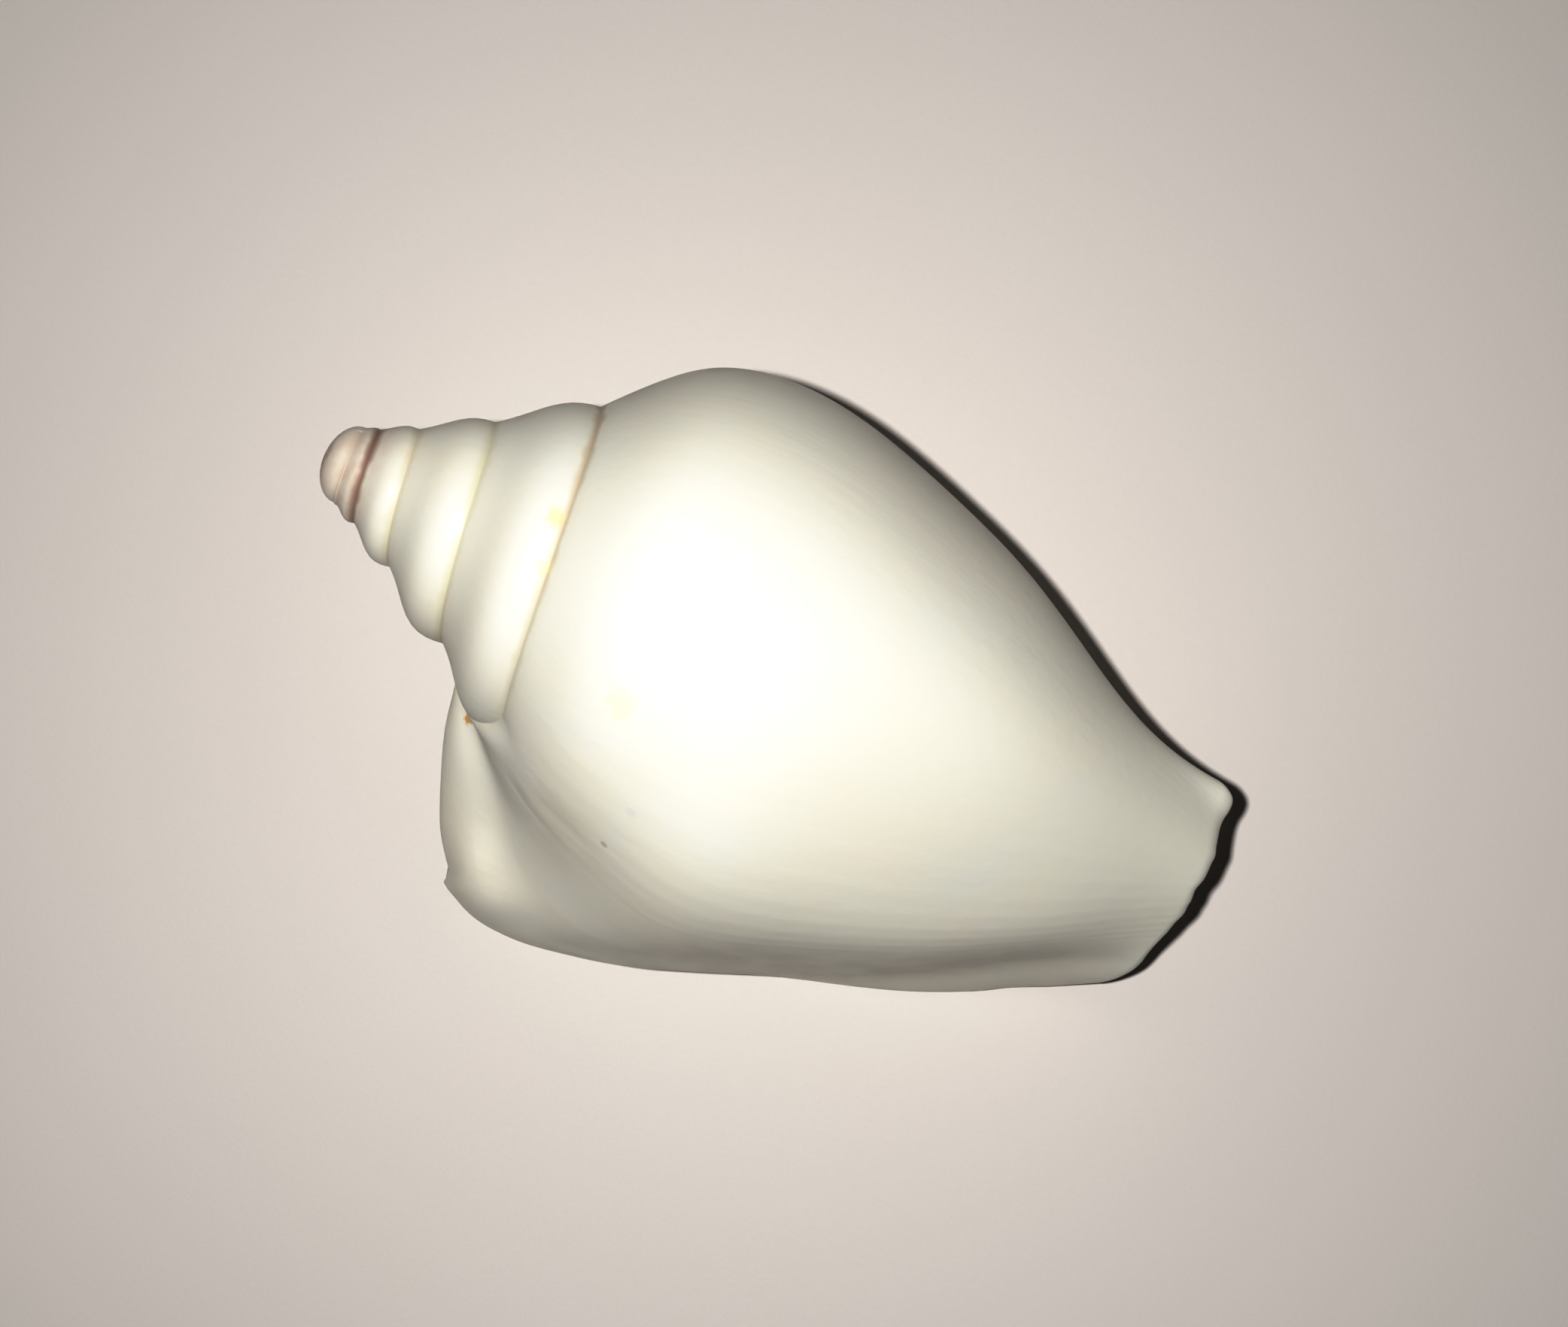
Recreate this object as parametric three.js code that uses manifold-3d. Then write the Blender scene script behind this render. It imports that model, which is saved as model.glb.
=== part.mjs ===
// A small true conch: a smooth right-handed sea shell with a short stepped spire, a swollen last
// whorl, a flared outer lip and an open front canal. It is one grown piece.
// Lengths are millimetres. The part lies on its aperture on z = 0, spire towards -x, canal towards
// +x, outer lip towards -y.
//
// The shell is described about its coiling axis, which runs along x until the shell is laid down.
// A station is a distance along the axis from the spire's tip. Growth is counted in turns: 0 is
// where the suture passes the lip side, -0.25 is on the back of the last whorl, and -1 is one whole
// turn before 0. Rows run across a whorl, from its suture (0) to the shell's front end.
import * as THREE from 'three';
import { mergeVertices } from 'three/addons/utils/BufferGeometryUtils.js';
import Module from 'manifold-3d';

const wasm = await Module();
wasm.setup();

// The suture, the line where each whorl is laid on the one before, widens with growth
const SUTURE_RADIUS = 9.3;
const RADIUS_GROWTH = 0.374;
const RADIUS_SLOWING = 0.152;
const TIP_RADIUS = 2.5;
const SUTURE_STATION = 16.2;
const STATION_GROWTH = 0.329;
const STATION_SLOWING = 0.115;
const TIP_STATION = 1.0;
const TIP_HEIGHT = 1.7;

// Each spire whorl swells between two sutures, a little more on the lip side
const WHORL_SWELL = 0.12;
const LIP_SIDE_SWELL = 0.04;
const SWELL_LOWERING = 1.6;

// Over these turns the spire's outline passes into the last whorl's
const SPIRE_TO_BODY = [-1.05, -0.72];
const SPIRE_FADE_ROWS = 2.5;

// The lip ends this far past zero, and the suture's last stretch climbs back up the spire
const LIP_TURN = 1 / 12;
const FIRST_SUTURE = LIP_TURN - 4.5;
const CLIMB_START = -0.075;
const CLIMB = 0.9;
const CLIMB_FADE_TURNS = 0.3;
const SUTURE_PULL_ROWS = 1.2;

// The last whorl's outline half a turn before zero: station and radius
const WHORL_OUTLINE = [
  [14.33, 9.83], [17.0, 12.75], [20.2, 15.2], [24.8, 16.3], [30.4, 15.8],
  [37.0, 13.9], [44.0, 11.1], [51.0, 7.1], [56.5, 4.85], [62.3, 4.2],
];
const OUTLINE_TURN = -0.5;
const LAST_ROW = WHORL_OUTLINE.length - 1;
const NEXT_SUTURE_ROW = 2;
const BELLY_FLATTENING = 0.04;

// Growth lines of the last half turn: station, distance towards the lip side, rise above the axis
const FAR_LINE = [
  [15, -7.3, 7.3], [17.6, -9.1, 9.1], [20.8, -10.7, 10.7], [25.3, -11.4, 11.3], [31, -11.1, 10.9],
  [37.7, -9.8, 9.6], [45, -7.9, 7.4], [52, -5.4, 4.7], [57.3, -3.9, 2.5], [62.6, -2.4, 0.7],
];
const BACK_LINE = [
  [15.8, 0, 10.8], [18.2, 0, 13.1], [21.2, 0, 15], [25.6, 0, 15.9], [31.2, 0, 15.6],
  [38, 0, 13.9], [45.5, 0, 11], [52.5, 0, 7.2], [58, 0, 3.9], [62.8, 0, 1.3],
];
const SHOULDER_LINE = [
  [16.4, 7.9, 7.9], [18.8, 9.4, 9.4], [22, 10.8, 10.7], [26.4, 11.8, 11.4], [32, 12.6, 11.4],
  [39, 11.7, 9.6], [46.5, 9.6, 7.3], [53.5, 7.1, 4.9], [58.8, 4.8, 2.6], [62.8, 3.2, 1],
];
const FLANK_LINE = [
  [15.2, 11.3, 0.2], [17.7, 13.4, 1.6], [20.8, 15.5, 2.3], [25.4, 17.3, 3.6], [31.2, 18.8, 4],
  [38.5, 17, 3.8], [46.5, 14.1, 2.8], [53.5, 10.8, 1.3], [58.8, 8.2, -0.1], [62.6, 6.5, -1],
];
const VALLEY_LINE = [
  [13.6, 10.1, -2.2], [16.3, 13.3, -2.1], [18.9, 16.4, -2.8], [22, 20.1, -4], [28.1, 22.1, -3.2],
  [36.8, 19.9, -3.1], [45.6, 16.8, -3.6], [53.5, 12.7, -4], [59, 9.9, -3.5], [62.5, 8.9, -3.2],
];
const FLARE_LINE = [
  [12.7, 8.9, -3.5], [14.4, 13.5, -3.6], [16.8, 17.7, -5.1], [19.7, 22.7, -7.2], [25.5, 24.7, -8.3],
  [34.4, 22.4, -8.5], [43.5, 18.9, -8.5], [51.5, 15.7, -8.7], [58, 12.4, -7.5], [62.4, 10.4, -5.8],
];
const LIP_LINE = [
  [12.2, 8.2, -4.6], [12.6, 12.9, -5.6], [14.5, 18.7, -7.7], [17.7, 24.7, -12.2], [23.5, 26.1, -13.9],
  [31.5, 24.3, -13.5], [41, 21.4, -12.8], [50.2, 18.5, -12.1], [57.8, 14.7, -11.3], [62.2, 11.6, -8.6],
];
const LINE_TURNS = [-0.75, -0.625, -0.5, -0.375, -0.25, -0.125, 0, 0.035, 0.06, LIP_TURN];

// The wall, the pillar the whorls wind round, and the glaze laid on the whorl inside the aperture
const WALL = 1.1;
const LIP_WALL = 2.2;
const FRONT_LIP_WALL = 1.4;
const LIP_THICKENING_START = -0.08;
const FRONT_LIP_ROWS = 2.5;
const PILLAR_RADIUS = 2.6;
const PILLAR_END = [59.8, -2.6, -1.4];
const GLAZE = 0.35;
const GLAZE_TURNS = 0.22;
const GLAZE_EDGE = 0.03;
const GLAZE_ROWS = 0.8;

// The cavity winds in about one turn from the aperture
const CAVITY_START = -0.95;
const CAVITY_LAST_ROW = 7.2;
const CAVITY_TAPER = 0.5;
const CAVITY_TAPER_ROWS = 0.8;
const CAVITY_END_LEAN = 0.3;
const ONTO_PILLAR = [-4, 3];
const CORNER_GAP = 0.35;
const MOUTH_DROP = 7;

// The canal is a trough under the whorl's front end, open below and in front. Its side towards the
// pillar bulges to a point that runs between these places: station, side, rise.
const CANAL_STATIONS = [50, 51.5, 53, 55, 57, 59, 60.5, 61.8, 62.1, 62.25];
const CANAL_TURNS = [-0.46, LIP_TURN];
const CANAL_TAPER = 1.0;
const CANAL_BULGE_FROM = [50, 3.5, 5.5];
const CANAL_BULGE_TO = [62, -2.4, -0.8];
const CANAL_FLARE = 5;
const CANAL_REACH = 6;
const CANAL_DROP = 21;

// The cavity and the canal come up to this share of their taper's way to meet flush at the lip
const FLUSH_START = -0.05;
const FLUSH_SHARE = 0.96;

// The free edge is a half-round: how much growth and how many rows it takes to turn
const RIM_TURNS = 0.028;
const RIM_ROWS = 0.22;
const RIM_FLAT = 0.12;
const RIM_START_ROWS = 0.6;

// How the shell lies: its spire end is raised, and it leans on its lip
const REST_PITCH = THREE.MathUtils.degToRad(4.35);
const REST_ROLL = THREE.MathUtils.degToRad(0);

// How finely the surfaces are cut into faces
const TURN_STEPS = 44;
const RIM_STEPS = [0.6, 0.2];
const CANAL_COLUMNS = 22;
const CANAL_SIDE_POINTS = 6;
const SPIRE_ROWS = 4;
const BODY_ROWS = 23;
const CAVITY_ROWS = 19;
const TIP_RINGS = 3;
const SHORTEST_EDGE = 0.08;
const SAME_POINT = 1e-4;
const SAME_CORNER = 1e-5;
const EMPTY_FACE = 1e-6;
const LEAST_FACING = 0.2;
const SLACK = 1e-9;

// How far apart the points are that a surface's direction is taken from, and how often a search halves
const TURN_PROBE = 0.004;
const ROW_PROBE = 0.05;
const HALVINGS = 18;
const SMOOTHING_PASSES = 24;

const mix = THREE.MathUtils.lerp;
const ramp = THREE.MathUtils.smoothstep;

// Control points of a smooth curve that passes through the given points
function controlPoints(points) {
  const control = points.map((point) => [...point]);
  for (let pass = 0; pass < SMOOTHING_PASSES; pass += 1) {
    for (let i = 1; i < points.length - 1; i += 1) {
      control[i] = points[i].map((value, k) => (6 * value - control[i - 1][k] - control[i + 1][k]) / 4);
    }
  }
  return control;
}

// A control point, or where the curve would go on straight past either end
function controlAt(control, i) {
  const last = control.length - 1;
  if (i < 0) return control[0].map((value, k) => 2 * value - control[1][k]);
  if (i > last) return control[last].map((value, k) => 2 * value - control[last - 1][k]);
  return control[i];
}

// The point at a place along a cubic B-spline, where whole numbers are its control points
function splinePoint(control, place) {
  const first = Math.min(Math.floor(place), control.length - 2);
  const f = place - first;
  const g = 1 - f;
  const weights = [g ** 3, 3 * f ** 3 - 6 * f ** 2 + 4, 3 * g ** 3 - 6 * g ** 2 + 4, f ** 3];
  const point = control[0].map(() => 0);
  weights.forEach((weight, j) => {
    controlAt(control, first - 1 + j).forEach((value, k) => {
      point[k] += (weight / 6) * value;
    });
  });
  return point;
}

function sutureRadius(turn) {
  const t = Math.max(turn, FIRST_SUTURE);
  return TIP_RADIUS + SUTURE_RADIUS * Math.exp(RADIUS_GROWTH * t - RADIUS_SLOWING * t * t);
}

function sutureStation(turn) {
  const t = Math.max(turn, FIRST_SUTURE);
  return TIP_STATION + SUTURE_STATION * Math.exp(STATION_GROWTH * t - STATION_SLOWING * t * t);
}

// Station and radius on a spire whorl, between its own suture (part 0) and the next (part 1)
function spireOutline(turn, part) {
  const alongStep = sutureStation(turn + 1) - sutureStation(turn);
  const outStep = sutureRadius(turn + 1) - sutureRadius(turn);
  const swell = WHORL_SWELL + LIP_SIDE_SWELL * Math.cos(2 * Math.PI * turn);
  const height = swell * Math.sin(Math.PI * part ** SWELL_LOWERING);
  return [
    sutureStation(turn) + alongStep * part - outStep * height,
    sutureRadius(turn) + outStep * part + alongStep * height,
  ];
}

// The last whorl's outline, grown on or back to another turn
const outlineControl = controlPoints(WHORL_OUTLINE);

function bodyOutline(turn, row) {
  const [station, radius] = splinePoint(outlineControl, row);
  const [firstStation, firstRadius] = WHORL_OUTLINE[0];
  const size = sutureRadius(turn) / firstRadius;
  const belly = 1 - BELLY_FLATTENING * Math.sin(Math.PI * ramp(turn, -1, OUTLINE_TURN));
  return [
    sutureStation(turn) + (station - firstStation) * size,
    sutureRadius(turn) + (radius - firstRadius) * size * belly,
  ];
}

// Station and radius of the outside at any turn up to the last half
function outline(turn, row) {
  const body = bodyOutline(turn, row);
  const spire = spireOutline(turn, Math.min(row / NEXT_SUTURE_ROW, 1));
  const share = ramp(turn, ...SPIRE_TO_BODY);
  if (row <= NEXT_SUTURE_ROW) return [mix(spire[0], body[0], share), mix(spire[1], body[1], share)];
  const edge = bodyOutline(turn, NEXT_SUTURE_ROW);
  const fade = (1 - share) * (1 - ramp(row, NEXT_SUTURE_ROW, NEXT_SUTURE_ROW + SPIRE_FADE_ROWS));
  return [body[0] + fade * (spire[0] - edge[0]), body[1] + fade * (spire[1] - edge[1])];
}

function aroundAxis(turn, [station, radius]) {
  const angle = 2 * Math.PI * turn;
  return [station, -radius * Math.cos(angle), -radius * Math.sin(angle)];
}

// The last half turn is a smooth skin through its growth lines
const outlineLine = (turn) => WHORL_OUTLINE.map((_, row) => aroundAxis(turn, outline(turn, row)));
const placedLine = (line) => line.map(([station, side, rise]) => [station, -side, rise]);
const growthLines = [
  ...LINE_TURNS.slice(0, 3).map(outlineLine),
  ...[FAR_LINE, BACK_LINE, SHOULDER_LINE, FLANK_LINE, VALLEY_LINE, FLARE_LINE, LIP_LINE].map(placedLine),
];
const lineControl = growthLines.map(controlPoints);
const skinControl = WHORL_OUTLINE.map((_, row) => controlPoints(lineControl.map((line) => line[row])));

function skinPoint(turn, row) {
  let i = 0;
  while (i < LINE_TURNS.length - 2 && turn > LINE_TURNS[i + 1]) i += 1;
  const place = i + (turn - LINE_TURNS[i]) / (LINE_TURNS[i + 1] - LINE_TURNS[i]);
  return splinePoint(skinControl.map((control) => splinePoint(control, place)), row);
}

// The row of a whorl that the next suture lies on. Its last stretch climbs towards the tip.
function sutureRow(turn) {
  return NEXT_SUTURE_ROW * (1 - CLIMB * ramp(turn, CLIMB_START, LIP_TURN));
}

// Any point of the outside. Near the suture the skin is drawn onto the whorl that it is laid on.
function outsidePoint(turn, row) {
  if (turn < OUTLINE_TURN) return aroundAxis(turn, outline(turn, row));
  const point = skinPoint(turn, row);
  const pull = 1 - ramp(row, 0, SUTURE_PULL_ROWS);
  const laidOn = aroundAxis(turn, outline(turn - 1, sutureRow(turn)));
  const edge = skinPoint(turn, 0);
  return point.map((value, k) => value + pull * (laidOn[k] - edge[k]));
}

// A point under the outside, or above it where the depth is negative
function pointUnder(turn, row, depth) {
  const at = (t, r) => new THREE.Vector3(...outsidePoint(t, r));
  const [t0, t1] = [Math.min(turn, LIP_TURN) - TURN_PROBE, Math.min(turn + TURN_PROBE, LIP_TURN)];
  const [r0, r1] = [Math.max(row - ROW_PROBE, 0), Math.min(row + ROW_PROBE, LAST_ROW)];
  const growth = at(t1, row).sub(at(t0, row));
  const across = at(turn, r1).sub(at(turn, r0));
  return at(turn, row).addScaledVector(growth.cross(across).normalize(), -depth);
}

function wallThickness(turn, row) {
  const lip = mix(LIP_WALL, FRONT_LIP_WALL, ramp(row, LAST_ROW - FRONT_LIP_ROWS, LAST_ROW));
  return mix(WALL, lip, ramp(turn, LIP_THICKENING_START, LIP_TURN));
}

// How far the half-round of the free edge has turned in, from 0 to 1
function rimTurn(turn, row) {
  const pastTurn = Math.max((turn - LIP_TURN) / RIM_TURNS + 1, 0);
  const pastRow = Math.max((row - LAST_ROW) / RIM_ROWS + 1, 0);
  const x = Math.min(Math.hypot(pastTurn, pastRow), 1);
  return (1 - Math.sqrt(1 - x * x)) * ramp(row, 0, RIM_START_ROWS);
}

// Depth of the inside under the outside. It comes closer to the outside at the free edge.
function insideDepth(turn, row) {
  return wallThickness(turn, row) * (1 - (0.5 - RIM_FLAT) * rimTurn(turn, row));
}

// 1 well behind the lip, and almost 0 at it, where the cavity and the canal meet flush
function behindLip(turn) {
  return 1 - FLUSH_SHARE * ramp(turn, FLUSH_START, LIP_TURN - RIM_TURNS);
}

// The outside as it is built: the rim is rounded, and glaze thickens the whorl beside the aperture
function shellPoint(turn, row) {
  const glazed = LIP_TURN - 1;
  let depth = 0.5 * wallThickness(turn, row) * rimTurn(turn, row);
  if (turn >= glazed) {
    const start = sutureRow(turn + 1);
    const fade = 1 - ramp(turn, glazed, glazed + GLAZE_TURNS);
    depth -= GLAZE * ramp(row, start, start + GLAZE_ROWS) * fade;
  }
  return depth === 0 ? new THREE.Vector3(...outsidePoint(turn, row)) : pointUnder(turn, row, depth);
}

// Radius, at a station, of the whorl or pillar that the cavity's inner wall lies on
function innerRadius(turn, station) {
  const [endStation, endRadius] = outline(turn - 1, LAST_ROW);
  let radius = endRadius;
  if (station < endStation) {
    let [low, high] = [0, LAST_ROW];
    for (let i = 0; i < HALVINGS; i += 1) {
      const middle = (low + high) / 2;
      if (outline(turn - 1, middle)[0] < station) low = middle;
      else high = middle;
    }
    [, radius] = outline(turn - 1, low);
  }
  const onPillar = ramp(station - endStation, ...ONTO_PILLAR);
  return Math.max(mix(radius + GLAZE + GLAZE_EDGE, PILLAR_RADIUS, onPillar), PILLAR_RADIUS);
}

// One closed loop of the cavity: forward inside the outer wall, and back along the inner wall
function cavityLoop(turn) {
  const under = (row) => {
    const taper = CAVITY_TAPER * ramp(row, CAVITY_LAST_ROW - CAVITY_TAPER_ROWS, CAVITY_LAST_ROW);
    return pointUnder(turn, row, insideDepth(turn, row) + taper * behindLip(turn));
  };
  let [low, high] = [0, NEXT_SUTURE_ROW + 2];
  for (let i = 0; i < HALVINGS; i += 1) {
    const middle = (low + high) / 2;
    const point = under(middle);
    if (Math.hypot(point.y, point.z) < innerRadius(turn, point.x) + CORNER_GAP) low = middle;
    else high = middle;
  }
  const outer = [];
  for (let j = 0; j <= CAVITY_ROWS; j += 1) outer.push(under(mix(high, CAVITY_LAST_ROW, j / CAVITY_ROWS)));
  const inner = outer.map((_, j) => {
    const station = mix(outer[0].x, outer[CAVITY_ROWS].x - CAVITY_END_LEAN, j / CAVITY_ROWS);
    return new THREE.Vector3(...aroundAxis(turn, [station, innerRadius(turn, station)]));
  });
  return [...outer, ...inner.reverse()];
}

// The row at which a growth line passes a station
function rowAt(turn, station) {
  let [low, high] = [0, LAST_ROW];
  for (let i = 0; i < HALVINGS; i += 1) {
    const middle = (low + high) / 2;
    if (outsidePoint(turn, middle)[0] < station) low = middle;
    else high = middle;
  }
  return low;
}

// The edge of the pillar beside the canal, where the whorl's own front end winds down to the tip
function pillarEdge(station) {
  let [low, high] = [LIP_TURN - 1, OUTLINE_TURN];
  for (let i = 0; i < HALVINGS; i += 1) {
    const middle = (low + high) / 2;
    if (outline(middle, LAST_ROW)[0] < station) low = middle;
    else high = middle;
  }
  const radius = outline(low, rowAt(low, station))[1] + GLAZE + 2 * GLAZE_EDGE;
  return new THREE.Vector3(...aroundAxis(low, [station, radius]));
}

// One closed loop of the canal: over under the whorl's roof to the lip, down, and up beside the pillar
function canalLoop(station) {
  const taper = CANAL_TAPER * (1 - ramp(station, CANAL_STATIONS[0], CANAL_STATIONS[3]));
  const loop = [];
  for (let j = 0; j <= CANAL_COLUMNS; j += 1) {
    const turn = mix(...CANAL_TURNS, j / CANAL_COLUMNS);
    const row = rowAt(turn, station);
    loop.push(pointUnder(turn, row, insideDepth(turn, row) + taper * behindLip(turn)));
  }
  const edge = pillarEdge(station);
  const floor = edge.z - CANAL_DROP;
  loop.push(loop[CANAL_COLUMNS].clone().setZ(floor));
  loop.push(new THREE.Vector3(edge.x, edge.y - CANAL_FLARE, floor));
  const along = (station - CANAL_BULGE_FROM[0]) / (CANAL_BULGE_TO[0] - CANAL_BULGE_FROM[0]);
  const [, side, rise] = CANAL_BULGE_FROM.map((value, k) => mix(value, CANAL_BULGE_TO[k], along));
  const bulge = new THREE.Vector3(station, -side, rise);
  const curve = new THREE.QuadraticBezierCurve3(edge, bulge, loop[0]);
  loop.push(...curve.getPoints(CANAL_SIDE_POINTS).slice(0, -1));
  return loop;
}

// A solid from closed faces, given as corner points and triples or quads of their numbers
function solidOf(points, faces) {
  const raw = new THREE.BufferGeometry().setFromPoints(points);
  raw.setIndex(faces.flatMap(([a, b, c, d]) => (d === undefined ? [a, b, c] : [a, b, c, a, c, d])));
  const merged = mergeVertices(raw, SAME_POINT);
  const index = merged.getIndex().array;
  const kept = [];
  for (let i = 0; i < index.length; i += 3) {
    const [a, b, c] = index.slice(i, i + 3);
    if (a !== b && b !== c && c !== a) kept.push(a, b, c);
  }
  return new wasm.Manifold(new wasm.Mesh({
    numProp: 3,
    vertProperties: merged.getAttribute('position').array,
    triVerts: new Uint32Array(kept),
  }));
}

// The shell as if it were filled, with a face across the aperture
function filledShell() {
  const points = [];
  const faces = [];
  const add = (point) => points.push(point) - 1;
  const bodyStart = LIP_TURN - 1;
  const steps = [];
  for (let i = 0; i < TURN_STEPS; i += 1) steps.push(bodyStart + i / TURN_STEPS);
  RIM_STEPS.forEach((step) => steps.push(LIP_TURN - step * RIM_TURNS));
  const turns = [];
  for (let whole = Math.ceil(-FIRST_SUTURE); whole >= 0; whole -= 1) {
    turns.push(...steps.map((turn) => turn - whole).filter((turn) => turn >= FIRST_SUTURE - 1 - SLACK));
  }
  turns.push(LIP_TURN);
  turns.sort((a, b) => a - b);

  const columns = turns.map((turn) => {
    const inBody = turn >= bodyStart - SLACK;
    const next = inBody
      ? mix(sutureRow(LIP_TURN), NEXT_SUTURE_ROW, ramp(turn, bodyStart, bodyStart + CLIMB_FADE_TURNS))
      : sutureRow(turn + 1);
    const column = [];
    for (let j = 0; j <= SPIRE_ROWS; j += 1) column.push((next * j) / SPIRE_ROWS);
    for (let j = 1; inBody && j < BODY_ROWS; j += 1) column.push(mix(next, LAST_ROW, j / BODY_ROWS));
    if (inBody) column.push(...RIM_STEPS.map((step) => LAST_ROW - step * RIM_ROWS), LAST_ROW);
    return column.map((row) => add(shellPoint(turn, row)));
  });
  for (let i = 0; i < columns.length - 1; i += 1) {
    const [here, there] = [columns[i], columns[i + 1]];
    for (let j = 0; j < Math.min(here.length, there.length) - 1; j += 1) {
      faces.push([here[j], there[j], there[j + 1], here[j + 1]]);
    }
  }

  // The tip is a small dome on the first suture's ring
  const tip = add(new THREE.Vector3(sutureStation(FIRST_SUTURE) - TIP_HEIGHT, 0, 0));
  const ringSize = turns.filter((turn) => turn < FIRST_SUTURE - SLACK).length;
  let ring = columns.slice(0, ringSize).map((column) => column[0]);
  for (let k = 1; k < TIP_RINGS; k += 1) {
    const angle = (Math.PI / 2) * (1 - k / TIP_RINGS);
    const station = sutureStation(FIRST_SUTURE) - TIP_HEIGHT * Math.cos(angle);
    const radius = sutureRadius(FIRST_SUTURE) * Math.sin(angle);
    const above = ring.map((_, i) => add(new THREE.Vector3(...aroundAxis(turns[i], [station, radius]))));
    ring.forEach((corner, i) => {
      const next = (i + 1) % ringSize;
      faces.push([ring[next], corner, above[i], above[next]]);
    });
    ring = above;
  }
  ring.forEach((corner, i) => faces.push([ring[(i + 1) % ringSize], corner, tip]));

  // The face across the aperture, from the lip to the whorl beside it
  const lip = columns[columns.length - 1];
  const body = columns.filter((column) => column.length > SPIRE_ROWS + 1);
  const beside = body[0];
  for (let j = 1; j < SPIRE_ROWS; j += 1) faces.push([lip[j], beside[SPIRE_ROWS], lip[j + 1]]);
  for (let j = SPIRE_ROWS; j < lip.length - 1; j += 1) {
    faces.push([lip[j], beside[j], beside[j + 1], lip[j + 1]]);
  }

  // The front end closes on the pillar's end
  const [station, side, rise] = PILLAR_END;
  const pillar = add(new THREE.Vector3(station, -side, rise));
  const front = body.map((column) => column[column.length - 1]);
  front.push(front[0]);
  for (let i = 0; i < front.length - 1; i += 1) faces.push([front[i], front[i + 1], pillar]);
  return solidOf(points, faces);
}

// The space inside, carried on down out of the aperture
function cavity() {
  const points = [];
  const faces = [];
  const turns = [];
  for (let turn = LIP_TURN; turn > CAVITY_START; turn -= 1 / TURN_STEPS) turns.unshift(turn);
  turns.splice(turns.length - 1, 0, ...RIM_STEPS.map((step) => LIP_TURN - step * RIM_TURNS));
  turns.sort((a, b) => a - b);
  const loops = turns.map(cavityLoop);
  const drop = new THREE.Vector3(0, 0, -MOUTH_DROP);
  loops.push(loops[loops.length - 1].map((point) => point.clone().add(drop)));
  const numbers = loops.map((loop) => loop.map((point) => points.push(point) - 1));
  const size = loops[0].length;
  for (let i = 0; i < numbers.length - 1; i += 1) {
    for (let k = 0; k < size; k += 1) {
      const next = (k + 1) % size;
      faces.push([numbers[i][k], numbers[i + 1][k], numbers[i + 1][next], numbers[i][next]]);
    }
  }
  // Each end is closed by a strip between its outer and inner side
  const [first, last] = [numbers[0], numbers[numbers.length - 1]];
  for (let k = 0; k < size / 2 - 1; k += 1) {
    const across = size - 1 - k;
    faces.push([first[k], first[k + 1], first[across - 1], first[across]]);
    faces.push([last[across], last[across - 1], last[k + 1], last[k]]);
  }
  return solidOf(points, faces);
}

// The space of the canal, carried on past the front edge
function canal() {
  const points = [];
  const faces = [];
  const loops = CANAL_STATIONS.map(canalLoop);
  const forward = new THREE.Vector3(CANAL_REACH, 0, 0);
  loops.push(loops[loops.length - 1].map((point) => point.clone().add(forward)));
  const numbers = loops.map((loop) => loop.map((point) => points.push(point) - 1));
  const size = loops[0].length;
  for (let i = 0; i < numbers.length - 1; i += 1) {
    for (let k = 0; k < size; k += 1) {
      const next = (k + 1) % size;
      faces.push([numbers[i][k], numbers[i][next], numbers[i + 1][next], numbers[i + 1][k]]);
    }
  }
  [numbers[0], numbers[numbers.length - 1]].forEach((loop, end) => {
    const middle = points.push(loop.reduce((sum, k) => sum.add(points[k]), new THREE.Vector3())
      .divideScalar(size)) - 1;
    loop.forEach((corner, k) => {
      const next = loop[(k + 1) % size];
      faces.push(end === 0 ? [next, corner, middle] : [corner, next, middle]);
    });
  });
  return solidOf(points, faces);
}

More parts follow.
